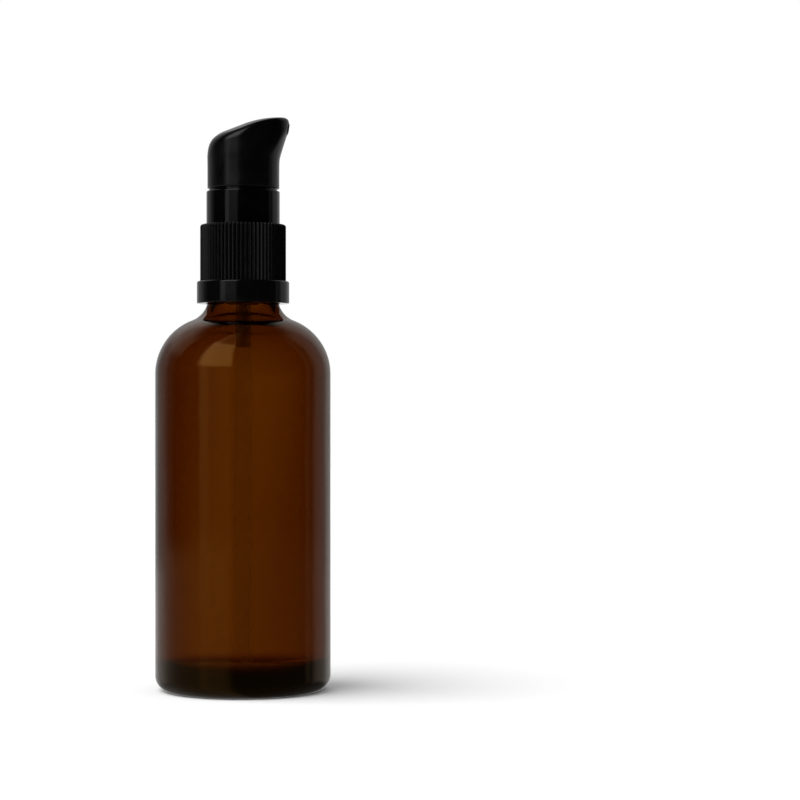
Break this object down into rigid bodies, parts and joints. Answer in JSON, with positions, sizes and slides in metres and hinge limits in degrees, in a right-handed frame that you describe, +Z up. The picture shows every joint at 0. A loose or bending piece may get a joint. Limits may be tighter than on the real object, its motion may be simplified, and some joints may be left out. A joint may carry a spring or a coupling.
{
  "type": "pump oil bottle",
  "caption": "Round amber glass bottle with a ribbed black screw collar and a press-down lotion pump whose beaked head dispenses massage oil.",
  "frame": {"origin": "centre of the standing face, on the floor", "axes": "+Z up along the bottle's axis, +X towards the tip of the beak, +Y away from the viewer when the beak points right"},
  "size_m": [0.045, 0.045, 0.1469],
  "materials": {
    "amber_glass": "smooth amber container glass",
    "black_satin": "satin moulded polypropylene, gloss on the plain band",
    "black_gloss": "polished moulding",
    "black_matte": "fine matt moulding",
    "natural_plastic": "natural milky polypropylene",
    "clear_tube": "translucent polyethylene tube",
    "seal": "soft polyethylene",
    "steel": "drawn stainless wire and polished balls"
  },
  "bodies": {
    "bottle": {"glass_bottle": "amber_glass"},
    "pump_core": {"neck_gasket": "seal", "pump_housing": "natural_plastic", "stem_guide": "natural_plastic", "guide_seal": "seal", "ball_cage": "natural_plastic", "return_spring": "steel", "dip_tube": "clear_tube"},
    "collar": {"screw_collar": "black_satin"},
    "plunger": {"piston_seal": "seal"},
    "head": {"pump_stem": "natural_plastic", "stem_plug": "natural_plastic", "actuator_body": "black_gloss", "spout_seal": "seal", "head_shell": "black_matte", "nozzle_insert": "black_gloss"},
    "inlet_valve": {"inlet_ball": "steel"},
    "outlet_valve": {"outlet_ball": "steel"}
  },
  "joints": [
    {"name": "pump_lift", "type": "slide", "parent": "bottle", "child": "pump_core", "axis": [0, 0, 1], "range_m": [0, 0.0045]},
    {"name": "collar_turn", "type": "hinge", "parent": "pump_core", "child": "collar", "pos_m": [0, 0, 0], "axis": [0, 0, 1], "range_deg": [0, 540]},
    {"name": "head_press", "type": "slide", "parent": "pump_core", "child": "plunger", "axis": [0, 0, 1], "range_m": [-0.0045, 0], "stiffness_N_per_m": 600, "springref_m": 0.006, "deforming": ["return_spring"]},
    {"name": "head_swivel", "type": "hinge", "parent": "plunger", "child": "head", "pos_m": [0, 0, 0], "axis": [0, 0, 1], "continuous": true},
    {"name": "inlet_ball_lift", "type": "slide", "parent": "pump_core", "child": "inlet_valve", "axis": [0, 0, 1], "range_m": [0, 0.0006]},
    {"name": "outlet_ball_lift", "type": "slide", "parent": "head", "child": "outlet_valve", "axis": [0, 0, 1], "range_m": [0, 0.001]}
  ],
  "couplings": [
    {"joint": "collar_turn", "follows": "pump_lift", "rad_per_m": 2094.4}
  ]
}
